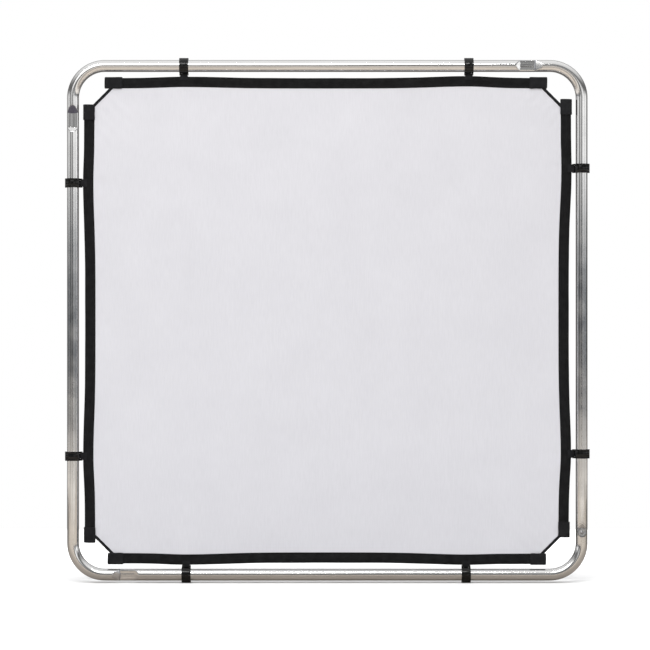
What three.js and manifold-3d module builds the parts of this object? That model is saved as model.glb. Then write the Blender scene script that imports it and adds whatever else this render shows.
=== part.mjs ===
// Collapsible scrim frame: four bent aluminium tubes that plug together at flattened joints,
// and a diffusion cover that hooks onto them with eight hinged clips.
//
// Millimetres, +Z up. The origin is the middle of the bottom tube's axis, +X runs along that
// tube and the front of the cover faces -Y. Every side is built as the bottom one and turned
// about the frame's centre, clockwise as seen from the front: bottom, left, top, right.
import * as THREE from 'three';
import { mergeVertices } from 'three/addons/utils/BufferGeometryUtils.js';
import Module from 'manifold-3d';

const wasm = await Module();
wasm.setup();

// ---- driving dimensions ----
const OUTER_SIZE = 1100;          // over the tubes, both ways
const TUBE_RADIUS = 12.5;
const TUBE_WALL = 1.5;
const BEND_RADIUS = 67.5;         // corner bend, on the tube's axis
const BEND_STEPS = 10;
const TUBE_SIDES = 24;
const GAP = 0.3;                  // between faces that touch

// joints: the straight end of one tube takes the insert of the next one's corner end
const SEAM = 439;                 // from the frame's centre, along the side
const FLAT_HALF = 6.2;            // the pressed flats, from the tube's middle plane
const FLAT_LENGTH = 32;
const STRAIGHT_RAMP = 12;         // flat to round, on the straight side
const CORNER_RAMP = 20;           // flat to round, on the corner side
const LOCK_RAMP = 14;             // the short press beside the locking joint
const PRESS_OVERCUT = 3;          // how far a press starts outside the seam
const PRESS_CLEAR = 8;            // and how far it reaches beyond the tube
const INSERT_RADIUS = 10.7;
const INSERT_HALF = 4.4;
const INSERT_TONGUE = 30;         // in the socket
const INSERT_ROOT = 20;           // in the corner end
const BOSS_RADIUS = 8.85;         // round shoulder seen in the locking joint's notch
const BOSS_FRONT = 7.2;
const BOSS_OFFSET = 9.3;          // from the seam to the boss's centre
const RIVET_SHANK = 1.6;
const RIVET_HEAD = 3.4;

// elastic cord inside the tubes
const CORD_RADIUS = 1.6;
const CORD_BORE = 2.2;
const CORD_MARGIN = 6;            // past each end of an insert
const STOP_DISTANCE = 50;         // from the locking seam to the plug that ends the cord
const STOP_LENGTH = 8;

// cover
const CLOTH_HALF = 491;           // from the centre to the hem's inner edge
const CLOTH_THICKNESS = 0.8;
const CORNER_SUM = 947;           // |x| + |z| on the middle of the binding that cuts a corner
const BINDING_HALF = 2.7;
const BINDING_THICKNESS = 3;
const HEM_WIDTH = 22;
const HEM_THICKNESS = 7.2;
const HEM_WALL = 0.7;
const BAND_LENGTH = 926;          // hem with the patches on its ends
const PATCH_LENGTH = 33;
const PATCH_WIDTH = 23;
const PATCH_THICKNESS = 9;
const PATCH_WALL = 2;             // at the closed end
const ROD_RADIUS = 2.5;
const ROD_INSET = 3;              // from the band's end

// clips
const CLIP_WIDTH = 19;
const HOOK_INNER = TUBE_RADIUS + 0.4;
const HOOK_OUTER = TUBE_RADIUS + 4.4;
const HOOK_TAIL = 3;              // how far the outer wall reaches behind the tube's middle
const PIN_OUT = -16.9;            // clip pin, outwards from the tube's axis
const PIN_RADIUS = 1.3;
const KNUCKLE_RADIUS = 3.2;
const WINDOW_RADIUS = 7;          // the room for the webbing, round the pin
const WINDOW_WIDTH = 12;
const TAB_WIDTH = 11;
const TAB_THICKNESS = 1;
const TAB_LAP = 8;                // over the hem

// ---- sizes that follow ----
const HALF = OUTER_SIZE / 2 - TUBE_RADIUS;      // from the centre to a tube's axis
const TANGENT = HALF - BEND_RADIUS;             // where a bend starts
const BORE_RADIUS = TUBE_RADIUS - TUBE_WALL;
const HEM_INNER = CLOTH_HALF + GAP;

// A side's own x points right on the bottom side, down on the left, left on the top and up on the right.
// shift is where the middle of the hem lies along it.
const SIDES = [
  { name: 'bottom', shift: -1, ends: ['left', 'right'], clips: [['left', -298], ['right', 293]] },
  { name: 'left', shift: 7, ends: ['upper', 'lower'], clips: [['upper', -290], ['lower', 287]] },
  { name: 'top', shift: 3, ends: ['right', 'left'], clips: [['left', 303], ['right', -299]] },
  { name: 'right', shift: 4.5, ends: ['lower', 'upper'], clips: [['lower', -282], ['upper', 321]] },
];
const CORNERS = ['bottom_right', 'bottom_left', 'top_left', 'top_right'];

// ---- materials ----
const finish = (color, roughness, metalness) =>
  new THREE.MeshStandardMaterial({ color, roughness, metalness });
const ALUMINIUM = finish(0xc9c6c1, 0.22, 1);
const DIE_CAST = finish(0x5c6068, 0.4, 0.9);
const STEEL = finish(0x9a9c9f, 0.3, 1);
const CORD = finish(0x202022, 0.9, 0);
const CLOTH = finish(0xe0e0e5, 0.85, 0);
const HEM = finish(0x1c1c1e, 0.9, 0);
const WEBBING = finish(0x151517, 0.8, 0);
const FIBREGLASS = finish(0xd8d4c4, 0.5, 0);
const CLIP_PLASTIC = finish(0x0d0d0e, 0.25, 0);

// ---- solids ----
function toSolid(geometry) {
  const bare = geometry.index ? geometry.toNonIndexed() : geometry.clone();
  bare.deleteAttribute('normal');
  bare.deleteAttribute('uv');
  const merged = mergeVertices(bare, 1e-4);
  return new wasm.Manifold(new wasm.Mesh({
    numProp: 3,
    vertProperties: new Float32Array(merged.attributes.position.array),
    triVerts: new Uint32Array(merged.index.array),
  }));
}

function toGeometry(solid) {
  const mesh = solid.getMesh();
  const geometry = new THREE.BufferGeometry();
  geometry.setAttribute('position', new THREE.BufferAttribute(new Float32Array(mesh.vertProperties), 3));
  geometry.setIndex(new THREE.BufferAttribute(new Uint32Array(mesh.triVerts), 1));
  geometry.computeVertexNormals();
  return geometry;
}

const cut = (solid, geometries) => geometries.reduce((rest, each) => rest.subtract(toSolid(each)), solid);

// A flat shape extruded evenly to both sides of its own plane.
function slab(shape, thickness, curveSegments = 10) {
  const geometry = new THREE.ExtrudeGeometry(shape, {
    depth: thickness, bevelEnabled: false, curveSegments,
  });
  return geometry.translate(0, 0, -thickness / 2);
}

const outline = (points) => new THREE.Shape(points.map(([x, y]) => new THREE.Vector2(x, y)));

function circle(radius, sides) {
  const shape = new THREE.Shape();
  for (let i = 0; i < sides; i += 1) {
    const angle = (i / sides) * 2 * Math.PI;
    const x = radius * Math.cos(angle);
    const y = radius * Math.sin(angle);
    if (i === 0) shape.moveTo(x, y);
    else shape.lineTo(x, y);
  }
  return shape;
}

// ---- the line of one tube: along its side, round its corner and up to the next seam ----
class TubeLine extends THREE.Curve {
  constructor(start, end) {
    super();
    this.stations = [];
    this.add(start, -HALF, 0);
    for (let i = 0; i <= BEND_STEPS; i += 1) {
      const turn = (i / BEND_STEPS) * (Math.PI / 2);
      const x = TANGENT + BEND_RADIUS * Math.sin(turn);
      const z = -TANGENT - BEND_RADIUS * Math.cos(turn);
      this.add(x, z, turn);
    }
    this.add(HALF, end, Math.PI / 2);
  }

  add(x, z, turn) {
    this.stations.push({
      point: new THREE.Vector3(x, 0, z),
      tangent: new THREE.Vector3(Math.cos(turn), 0, Math.sin(turn)),
    });
  }

  get steps() {
    return this.stations.length - 1;
  }

  station(u) {
    return this.stations[Math.round(u * this.steps)];
  }

  getPointAt(u, target = new THREE.Vector3()) {
    return target.copy(this.station(u).point);
  }

  getTangentAt(u, target = new THREE.Vector3()) {
    return target.copy(this.station(u).tangent);
  }
}

function rod(radius, sides, start, end) {
  const line = new TubeLine(start, end);
  return new THREE.ExtrudeGeometry(circle(radius, sides), {
    extrudePath: line, steps: line.steps, bevelEnabled: false,
  });
}

// Two wedges that press a round end flat, front and back. x runs from the seam into the tube.
function pressWedges(half, flat, ramp, radius) {
  const clear = radius + PRESS_CLEAR;
  return [1, -1].map((way) => slab(outline([
    [-PRESS_OVERCUT, way * half], [flat, way * half], [flat + ramp, way * (radius + GAP)],
    [flat + ramp, way * clear], [-PRESS_OVERCUT, way * clear],
  ]), 4 * radius));
}

const atStraightEnd = (geometry) => geometry.translate(-SEAM, 0, -HALF);
const atCornerEnd = (geometry) => geometry.rotateY(Math.PI / 2).translate(HALF, 0, -SEAM - GAP);

function pressed(solid, radius, half, straight, corner) {
  const wedges = pressWedges(half, straight.flat, straight.ramp, radius).map(atStraightEnd);
  if (corner) wedges.push(...pressWedges(half, 0, corner.ramp, radius).map(atCornerEnd));
  return cut(solid, wedges);
}

// The U notch in the front of the locking corner end, and the hole for its rivet.
function lockNotch() {
  const reach = TUBE_RADIUS + 2;
  const width = BOSS_RADIUS + GAP;
  const bowl = new THREE.CylinderGeometry(width, width, reach, TUBE_SIDES);
  bowl.translate(HALF, -reach / 2, -SEAM - BOSS_OFFSET);
  const mouth = new THREE.BoxGeometry(2 * width, reach, BOSS_OFFSET + 2);
  mouth.translate(HALF, -reach / 2, -SEAM + 2 - (BOSS_OFFSET + 2) / 2);
  return [bowl, mouth, rivetHole()];
}

function rivetHole() {
  const hole = new THREE.CylinderGeometry(RIVET_SHANK + GAP, RIVET_SHANK + GAP, 4 * TUBE_RADIUS, 16);
  return hole.translate(HALF, 0, -SEAM - BOSS_OFFSET);
}

function tubeGeometry(index) {
  const locksAtCorner = index === 0;
  const locksAtStraight = index === 3;
  const straight = locksAtStraight
    ? { flat: 0, ramp: LOCK_RAMP }
    : { flat: FLAT_LENGTH, ramp: STRAIGHT_RAMP };
  const corner = locksAtCorner ? null : { ramp: CORNER_RAMP };
  const skin = toSolid(rod(TUBE_RADIUS, TUBE_SIDES, -SEAM, -SEAM - GAP));
  const hollow = toSolid(rod(BORE_RADIUS, TUBE_SIDES, -SEAM - 2, -SEAM + 2));
  const outside = pressed(skin, TUBE_RADIUS, FLAT_HALF, straight, corner);
  const inside = pressed(hollow, BORE_RADIUS, FLAT_HALF - TUBE_WALL, straight, corner);
  const tube = outside.subtract(inside);
  return toGeometry(locksAtCorner ? cut(tube, lockNotch()) : tube);
}

// Flat bar with round edges and a bore for the cord. Only the locking one has a boss.
function insertGeometry(locks) {
  const shape = circle(INSERT_RADIUS, TUBE_SIDES);
  const length = INSERT_TONGUE + INSERT_ROOT;
  const bar = new THREE.ExtrudeGeometry(shape, { depth: length, bevelEnabled: false });
  bar.translate(HALF, 0, -SEAM - INSERT_ROOT);
  const middle = -SEAM + (INSERT_TONGUE - INSERT_ROOT) / 2;
  const faces = [1, -1].map((way) => new THREE.BoxGeometry(4 * INSERT_RADIUS, INSERT_RADIUS, length + 2)
    .translate(HALF, way * (INSERT_HALF + INSERT_RADIUS / 2), middle));
  const bore = new THREE.ExtrudeGeometry(circle(CORD_BORE, 12), { depth: length + 2, bevelEnabled: false });
  bore.translate(HALF, 0, -SEAM - INSERT_ROOT - 1);
  let solid = cut(toSolid(bar), faces);
  if (locks) {
    const boss = new THREE.CylinderGeometry(BOSS_RADIUS, BOSS_RADIUS, BOSS_FRONT, TUBE_SIDES);
    boss.translate(HALF, -BOSS_FRONT / 2, -SEAM - BOSS_OFFSET);
    solid = cut(solid.add(toSolid(boss)), [rivetHole()]);
  }
  return toGeometry(cut(solid, [bore]));
}

// Round-headed rivet through the boss and the tube's back wall.
function rivetGeometry() {
  const front = -BOSS_FRONT - GAP;
  const back = TUBE_RADIUS + GAP;
  const profile = [
    [0, front - 2], [RIVET_HEAD * 0.7, front - 1.5], [RIVET_HEAD, front],
    [RIVET_SHANK, front], [RIVET_SHANK, back], [RIVET_HEAD, back],
    [RIVET_HEAD * 0.8, back + 1.3], [0, back + 1.5],
  ].map(([r, y]) => new THREE.Vector2(r, y));
  return new THREE.LatheGeometry(profile, 16).translate(HALF, 0, -SEAM - BOSS_OFFSET);
}

// ---- cord ----
const CORD_START = -SEAM + INSERT_TONGUE + CORD_MARGIN;
const CORD_END = -SEAM - INSERT_ROOT - CORD_MARGIN;

function cordRun(index) {
  const start = index === 3 ? -SEAM + STOP_DISTANCE - GAP : CORD_START;
  const end = index === 0 ? -SEAM - BOSS_OFFSET - RIVET_SHANK - 1 : CORD_END;
  return rod(CORD_RADIUS, 8, start, end);
}

function cordBridge() {
  const length = CORD_START - CORD_END - 2 * GAP;
  const bridge = new THREE.ExtrudeGeometry(circle(CORD_RADIUS, 8), { depth: length, bevelEnabled: false });
  return bridge.rotateY(Math.PI / 2).translate(CORD_END + GAP, 0, -HALF);
}

function cordStop() {
  const shape = circle(BORE_RADIUS - GAP, TUBE_SIDES);
  const plug = new THREE.ExtrudeGeometry(shape, { depth: STOP_LENGTH, bevelEnabled: false });
  return plug.rotateY(Math.PI / 2).translate(-SEAM + STOP_DISTANCE - STOP_LENGTH - 2 * GAP, 0, -HALF);
}

// ---- cover ----
function clothGeometry() {
  const along = CORNER_SUM - BINDING_HALF * Math.SQRT2 - GAP - CLOTH_HALF;
  const points = [];
  for (let i = 0; i < 4; i += 1) {
    const turn = (i * Math.PI) / 2;
    for (const way of [-along, along]) {
      const x = way * Math.cos(turn) + CLOTH_HALF * Math.sin(turn);
      const y = way * Math.sin(turn) - CLOTH_HALF * Math.cos(turn);
      points.push([x, y]);
    }
  }
  return slab(outline(points), CLOTH_THICKNESS).rotateX(Math.PI / 2);
}

function bindingGeometry() {
  const spread = BINDING_HALF * Math.SQRT2;
  const far = CORNER_SUM + spread - CLOTH_HALF;
  const near = CORNER_SUM - spread - CLOTH_HALF;
  const strip = outline([[near, -CLOTH_HALF], [far, -CLOTH_HALF], [CLOTH_HALF, -far], [CLOTH_HALF, -near]]);
  return slab(strip, BINDING_THICKNESS).rotateX(Math.PI / 2);
}

// A hollow flat tube along the side, from x0 to x1, its inner edge on the hem line.
function sleeveGeometry(x0, x1) {
  const half = HEM_THICKNESS / 2;
  const shape = outline([[HEM_INNER, -half], [HEM_INNER + HEM_WIDTH, -half],
    [HEM_INNER + HEM_WIDTH, half], [HEM_INNER, half]]);
  const room = half - HEM_WALL;
  shape.holes.push(outline([[HEM_INNER + HEM_WALL, -room], [HEM_INNER + HEM_WIDTH - HEM_WALL, -room],
    [HEM_INNER + HEM_WIDTH - HEM_WALL, room], [HEM_INNER + HEM_WALL, room]]));
  const sleeve = slab(shape, x1 - x0);
  return sleeve.rotateY(Math.PI / 2).translate((x0 + x1) / 2, 0, 0);
}

function rodGeometry(x0, x1) {
  const shape = circle(ROD_RADIUS, 12);
  const stiffener = slab(shape, x1 - x0).rotateY(Math.PI / 2);
  return stiffener.translate((x0 + x1) / 2, 0, -HEM_INNER - HEM_WIDTH / 2);
}

// Reinforced end patch: a cup over the end of the rod, open towards the sleeve.
function patchGeometry(x, way) {
  const middle = -HEM_INNER - PATCH_WIDTH / 2;
  const box = new THREE.BoxGeometry(PATCH_LENGTH, PATCH_THICKNESS, PATCH_WIDTH);
  box.translate(x - (way * PATCH_LENGTH) / 2, 0, middle);
  const depth = PATCH_THICKNESS - PATCH_WALL;
  const pocket = new THREE.BoxGeometry(PATCH_LENGTH, depth, PATCH_WIDTH - 2 * PATCH_WALL);
  pocket.translate(x - way * (PATCH_LENGTH / 2 + PATCH_WALL), 0, middle);
  return toGeometry(cut(toSolid(box), [pocket]));
}

// ---- clips: outlines are drawn outwards from the tube's axis, then turned onto the side ----
const onSide = (geometry, x) => geometry.rotateY(Math.PI / 2).translate(x, 0, -HALF);

function hookGeometry(x) {
  const shell = new THREE.Shape();
  const tipAngle = -Math.PI * 0.985;
  shell.moveTo(HOOK_OUTER, 0);
  shell.lineTo(HOOK_OUTER, HOOK_TAIL - 1);
  shell.lineTo(HOOK_OUTER - 1, HOOK_TAIL);
  shell.lineTo(HOOK_INNER, HOOK_TAIL);
  shell.lineTo(HOOK_INNER, 0);
  shell.absarc(0, 0, HOOK_INNER, 0, tipAngle, true);
  shell.absarc(0, 0, HOOK_OUTER, tipAngle, 0, false);
  const knuckle = new THREE.Shape().absarc(PIN_OUT, 0, KNUCKLE_RADIUS, 0, 2 * Math.PI);
  const window = new THREE.Shape().absarc(PIN_OUT, 0, WINDOW_RADIUS, 0, 2 * Math.PI);
  const pin = new THREE.Shape().absarc(PIN_OUT, 0, PIN_RADIUS, 0, 2 * Math.PI);
  const body = toSolid(slab(shell, CLIP_WIDTH, 14)).add(toSolid(slab(knuckle, CLIP_WIDTH, 16)));
  const opened = cut(body, [slab(window, WINDOW_WIDTH, 16)]);
  return onSide(toGeometry(opened.add(toSolid(slab(pin, WINDOW_WIDTH + 2, 12)))), x);
}

// Webbing loop round the clip's pin, with one leg on each face of the hem.
function tabGeometry(x) {
  const inner = PIN_RADIUS + GAP;
  const outer = inner + TAB_THICKNESS;
  const hemEdge = HEM_INNER + HEM_WIDTH - HALF;
  const end = hemEdge - TAB_LAP;
  const near = HEM_THICKNESS / 2 + 0.4;
  const far = near + TAB_THICKNESS;
  const wrap = Math.PI * 0.62;
  const loop = new THREE.Shape();
  loop.moveTo(end, far);
  loop.lineTo(hemEdge - 0.2, far);
  loop.absarc(PIN_OUT, 0, outer, wrap, -wrap, true);
  loop.lineTo(hemEdge - 0.2, -far);
  loop.lineTo(end, -far);
  loop.lineTo(end, -near);
  loop.lineTo(hemEdge - 0.4, -near);
  loop.absarc(PIN_OUT, 0, inner, -wrap, wrap, false);
  loop.lineTo(hemEdge - 0.4, near);
  loop.lineTo(end, near);
  return onSide(slab(loop, TAB_WIDTH, 10), x);
}

// ---- the assembly ----
const scrim = new THREE.Group();

function place(parent, name, geometry, material) {
  const mesh = new THREE.Mesh(geometry, material);
  mesh.name = name;
  parent.add(mesh);
}

function turned(index) {
  const group = new THREE.Group();
  group.position.set(0, 0, HALF);
  group.rotation.y = (index * Math.PI) / 2;
  scrim.add(group);
  return group;
}

SIDES.forEach((side, index) => {
  const group = turned(index);
  const corner = CORNERS[index];
  const locks = index === 0;
  place(group, `${side.name}_tube`, tubeGeometry(index), ALUMINIUM);
  place(group, `${corner}_insert`, insertGeometry(locks), DIE_CAST);
  place(group, `${side.name}_cord`, cordRun(index), CORD);
  if (locks) place(group, `${corner}_rivet`, rivetGeometry(), STEEL);
  if (index === 3) place(group, 'cord_stop', cordStop(), DIE_CAST);
  else place(group, `${CORNERS[index + 1]}_cord_bridge`, cordBridge(), CORD);

  const low = side.shift - BAND_LENGTH / 2;
  const high = side.shift + BAND_LENGTH / 2;
  place(group, `${side.name}_hem`, sleeveGeometry(low + PATCH_LENGTH + GAP, high - PATCH_LENGTH - GAP), HEM);
  place(group, `${side.name}_rod`, rodGeometry(low + ROD_INSET, high - ROD_INSET), FIBREGLASS);
  place(group, `${side.name}_patch_${side.ends[0]}`, patchGeometry(low, -1), WEBBING);
  place(group, `${side.name}_patch_${side.ends[1]}`, patchGeometry(high, 1), WEBBING);
  place(group, `${corner}_binding`, bindingGeometry(), WEBBING);
  for (const [end, x] of side.clips) {
    place(group, `${side.name}_clip_${end}`, hookGeometry(x), CLIP_PLASTIC);
    place(group, `${side.name}_tab_${end}`, tabGeometry(x), WEBBING);
  }
});
place(turned(0), 'diffusion_cloth', clothGeometry(), CLOTH);

export default scrim;
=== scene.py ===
"""Looks of the scrim frame: fine tubes, moulded clips, and a stretched diffusion cover in its black hems.

Every piece is built on the bottom side, in a side frame, and turned onto its own side:
a runs along the side, y is depth (front is -y) and v is the distance outwards from the frame's centre.
All lengths are metres.
"""
import math

import bmesh
import bpy
import numpy as np
from mathutils import Matrix, Vector


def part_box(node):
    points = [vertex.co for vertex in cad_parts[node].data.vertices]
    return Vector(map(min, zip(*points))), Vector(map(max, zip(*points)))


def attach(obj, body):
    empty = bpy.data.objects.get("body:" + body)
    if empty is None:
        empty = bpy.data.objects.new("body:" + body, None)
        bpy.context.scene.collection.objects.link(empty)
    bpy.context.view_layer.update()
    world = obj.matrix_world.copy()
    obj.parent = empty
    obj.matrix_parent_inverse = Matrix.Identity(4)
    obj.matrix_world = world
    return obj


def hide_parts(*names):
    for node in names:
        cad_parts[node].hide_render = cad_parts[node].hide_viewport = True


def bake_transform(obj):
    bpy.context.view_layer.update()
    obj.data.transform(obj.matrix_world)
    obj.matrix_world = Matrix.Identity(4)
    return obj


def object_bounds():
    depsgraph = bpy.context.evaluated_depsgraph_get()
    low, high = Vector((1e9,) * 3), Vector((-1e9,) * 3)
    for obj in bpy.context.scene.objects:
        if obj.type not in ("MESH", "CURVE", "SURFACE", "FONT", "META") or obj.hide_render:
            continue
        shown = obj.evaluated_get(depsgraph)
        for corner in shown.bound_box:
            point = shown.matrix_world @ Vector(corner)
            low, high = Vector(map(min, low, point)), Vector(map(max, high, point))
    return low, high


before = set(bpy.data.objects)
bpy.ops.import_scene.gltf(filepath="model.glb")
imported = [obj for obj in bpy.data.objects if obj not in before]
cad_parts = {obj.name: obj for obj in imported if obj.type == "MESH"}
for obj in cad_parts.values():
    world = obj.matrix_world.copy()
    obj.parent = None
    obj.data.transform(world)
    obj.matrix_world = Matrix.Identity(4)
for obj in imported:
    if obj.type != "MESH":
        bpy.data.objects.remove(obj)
cad_low, cad_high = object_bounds()

MM = 0.001

# ---- driving dimensions, the same as the CAD source's ----
TUBE_RADIUS = 12.5 * MM
TUBE_WALL = 1.5 * MM
BEND_RADIUS = 67.5 * MM
SEAM = 439 * MM
GAP = 0.3 * MM
FLAT_HALF = 6.2 * MM
FLAT_LENGTH = 32 * MM
STRAIGHT_RAMP = 12 * MM
CORNER_RAMP = 20 * MM
LOCK_RAMP = 14 * MM
INSERT_RADIUS = 10.7 * MM
INSERT_HALF = 4.4 * MM
INSERT_TONGUE = 30 * MM
INSERT_ROOT = 20 * MM
BOSS_RADIUS = 8.85 * MM
BOSS_FRONT = 7.2 * MM
BOSS_OFFSET = 9.3 * MM
RIVET_SHANK = 1.6 * MM
RIVET_HEAD = 3.4 * MM
CORD_RADIUS = 1.6 * MM
CORD_BORE = 2.2 * MM
CORNER_SUM = 947 * MM             # |x| + |z| on the middle of a corner's binding
HEM_WIDTH = 22 * MM
HOOK_INNER = TUBE_RADIUS + 0.4 * MM
HOOK_OUTER = TUBE_RADIUS + 4.4 * MM
HOOK_TAIL = 3 * MM
PIN_OUT = -16.9 * MM
PIN_RADIUS = 1.3 * MM
KNUCKLE_RADIUS = 3.2 * MM
WINDOW_RADIUS = 7 * MM
WINDOW_WIDTH = 12 * MM
TAB_WIDTH = 11 * MM

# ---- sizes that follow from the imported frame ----
SIDES = ["bottom", "left", "top", "right"]
CORNERS = ["bottom_right", "bottom_left", "top_left", "top_right"]
CLIP_ENDS = {"bottom": ("left", "right"), "left": ("upper", "lower"),
             "top": ("left", "right"), "right": ("lower", "upper")}
PATCH_ENDS = {"bottom": ("left", "right"), "left": ("upper", "lower"),
              "top": ("right", "left"), "right": ("lower", "upper")}
HALF = (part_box("right_tube")[1].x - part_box("left_tube")[0].x) / 2 - TUBE_RADIUS
TANGENT = HALF - BEND_RADIUS
CENTRE = Vector((0, 0, HALF))
CLIP_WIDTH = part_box("bottom_clip_left")[1].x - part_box("bottom_clip_left")[0].x


def turn(index):
    """The matrix that carries the bottom side's own frame, centred on the frame, onto side index."""
    return Matrix.Translation(CENTRE) @ Matrix.Rotation(index * math.pi / 2, 4, "Y")


def along(index, node):
    """Lowest and highest a of a CAD node on side index."""
    back = turn(index).inverted()
    ends = [(back @ corner).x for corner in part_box(node)]
    return min(ends), max(ends)


def mid_along(index, node):
    return sum(along(index, node)) / 2


# ---- mesh helpers ----
def new_object(name, verts, faces, material, smooth_angle=35):
    """A mesh object in the scene, smooth but for edges sharper than smooth_angle."""
    mesh = bpy.data.meshes.new(name)
    mesh.from_pydata([tuple(v) for v in verts], [], faces)
    mesh.update()
    obj = bpy.data.objects.new(name, mesh)
    bpy.context.scene.collection.objects.link(obj)
    tidy_normals(obj)
    finish_shade(obj, smooth_angle)
    obj.data.materials.append(material)
    return obj


def tidy_normals(obj):
    """Merges points that coincide and turns all faces outwards."""
    bm = bmesh.new()
    bm.from_mesh(obj.data)
    bmesh.ops.remove_doubles(bm, verts=bm.verts, dist=1e-7)
    bmesh.ops.recalc_face_normals(bm, faces=bm.faces)
    bm.to_mesh(obj.data)
    bm.free()


def finish_shade(obj, angle):
    obj.data.polygons.foreach_set("use_smooth", [True] * len(obj.data.polygons))
    obj.data.set_sharp_from_angle(angle=math.radians(angle))


def ring_surface(rings, closed=False, capped=True):
    """Verts and faces of a surface through rings of points; closed joins the last ring to the first."""
    rings = np.asarray(rings, float)
    count, around = rings.shape[:2]
    verts = rings.reshape(-1, 3)
    faces = []
    for i in range(count if closed else count - 1):
        a, b = i * around, ((i + 1) % count) * around
        for j in range(around):
            k = (j + 1) % around
            faces.append((a + j, a + k, b + k, b + j))
    if capped and not closed:
        faces.append(tuple(range(around - 1, -1, -1)))
        faces.append(tuple(range((count - 1) * around, count * around)))
    return verts, faces


def apply_modifiers(obj):
    graph = bpy.context.evaluated_depsgraph_get()
    mesh = bpy.data.meshes.new_from_object(obj.evaluated_get(graph))
    old = obj.data
    obj.modifiers.clear()
    obj.data = mesh
    bpy.data.meshes.remove(old)


def combine(obj, other, operation):
    """Adds or cuts other into obj and removes other."""
    modifier = obj.modifiers.new("combine", "BOOLEAN")
    modifier.operation = operation
    modifier.solver = "EXACT"
    modifier.object = other
    bpy.context.view_layer.update()
    apply_modifiers(obj)
    bpy.data.objects.remove(other)


def round_edges(obj, width, angle):
    modifier = obj.modifiers.new("round", "BEVEL")
    modifier.width = width
    modifier.segments = 2
    modifier.limit_method = "ANGLE"
    modifier.angle_limit = math.radians(angle)
    modifier.use_clamp_overlap = True
    apply_modifiers(obj)
    finish_shade(obj, angle)


def set_down(obj, index, body, slot, *nodes):
    """Turns a piece onto its side, and has it ride on its body in place of its CAD nodes."""
    obj.data.transform(turn(index))
    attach(obj, body)
    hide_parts(*nodes)
    return obj


def prism(name, outline, width, centre, material):
    """A side-frame outline of (outwards from the tube's axis, y), extruded along a."""
    rings = [[(a, y, -HALF - w) for w, y in outline] for a in (centre - width / 2, centre + width / 2)]
    return new_object(name, *ring_surface(rings), material)


def arc(cx, radius, start, end, steps):
    return [(cx + radius * math.cos(t), radius * math.sin(t)) for t in np.linspace(start, end, steps + 1)]


# ---- materials ----
def nodes_of(name):
    """A new material, its node tree and its main shader."""
    material = bpy.data.materials.new(name)
    material.use_nodes = True
    tree = material.node_tree
    return material, tree, tree.nodes["Principled BSDF"]


def plug(tree, socket, value):
    """Links an output into the socket, or sets the socket to a plain value."""
    if hasattr(value, "links"):
        tree.links.new(value, socket)
    else:
        socket.default_value = value


def fill(tree, node, **values):
    """Sets a node's own properties, and its inputs by name, with _ for a space."""
    for key, value in values.items():
        if hasattr(node, key):
            setattr(node, key, value)
        else:
            plug(tree, node.inputs[key.replace("_", " ")], value)
    return node


def add(tree, kind, **values):
    return fill(tree, tree.nodes.new(kind), **values)


def ramp(tree, source, stops):
    node = add(tree, "ShaderNodeValToRGB", Fac=source)
    elements = node.color_ramp.elements
    while len(elements) < len(stops):
        elements.new(0.5)
    for element, (place, colour) in zip(elements, stops):
        element.position = place
        element.color = (*colour, 1)
    return node.outputs["Color"]


def grey(value):
    return (value, value, value)


def object_place(tree):
    return add(tree, "ShaderNodeTexCoord").outputs["Object"]


def scaled(tree, source, scale):
    return add(tree, "ShaderNodeMapping", Vector=source, Scale=scale).outputs["Vector"]


def noise(tree, source, scale, detail=3, roughness=0.5):
    node = add(tree, "ShaderNodeTexNoise", Vector=source, Scale=scale, Detail=detail, Roughness=roughness)
    return node.outputs["Fac"]


def bump(tree, height, distance, strength):
    node = add(tree, "ShaderNodeBump", Height=height, Distance=distance, Strength=strength)
    return node.outputs["Normal"]


def arithmetic(tree, operation, *values):
    node = add(tree, "ShaderNodeMath", operation=operation)
    for socket, value in zip(node.inputs, values):
        plug(tree, socket, value)
    return node.outputs[0]


def blended(tree, factor, first, second, kind="MIX"):
    node = add(tree, "ShaderNodeMix", data_type="RGBA", blend_type=kind, Factor=factor, A=first, B=second)
    return node.outputs["Result"]


def mapped(tree, source, low, high):
    """A value mapped from low..high to 0..1."""
    return add(tree, "ShaderNodeMapRange", Value=source, From_Min=low, From_Max=high).outputs["Result"]


def aluminium_material():
    """Polished drawn tube: fine lengthwise draw lines and handling haze, darker where painted shade lies
    along its creases, seams and ripples, and where some corner ends' presses are painted darker.
    """
    material, tree, shader = nodes_of("drawn_aluminium")
    grain = add(tree, "ShaderNodeAttribute", attribute_name="grain").outputs["Vector"]
    lines = noise(tree, scaled(tree, grain, (1, 1, 0.012)), 620, 4, 0.6)
    broad = noise(tree, scaled(tree, grain, (1, 1, 0.02)), 120, 2)
    haze = noise(tree, grain, 26, 4)
    tone = ramp(tree, lines, [(0.3, (0.8, 0.795, 0.785)), (0.65, (0.93, 0.93, 0.925))])
    soft = ramp(tree, broad, [(0.35, grey(0.82)), (0.62, grey(1.0))])
    clean = blended(tree, 0.5, tone, soft, "MULTIPLY")
    # painted shade along the creases, seams and ripples of the presses, and a painted darkening of some
    # corner presses
    shade_and_darkening = add(tree, "ShaderNodeAttribute", attribute_name="shade_and_darkening").outputs["Fac"]
    # the colour where that painted shade and darkening lies
    stained = blended(tree, 1.0, clean, (0.18, 0.185, 0.25, 1), "MULTIPLY")
    rough = ramp(tree, haze, [(0.3, grey(0.09)), (0.75, grey(0.17))])
    fill(tree, shader, Base_Color=blended(tree, shade_and_darkening, clean, stained), Metallic=1,
         Roughness=blended(tree, shade_and_darkening, rough, (0.34, 0.34, 0.34, 1)),
         Normal=bump(tree, lines, 0.00006, 0.6))
    return material


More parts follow.
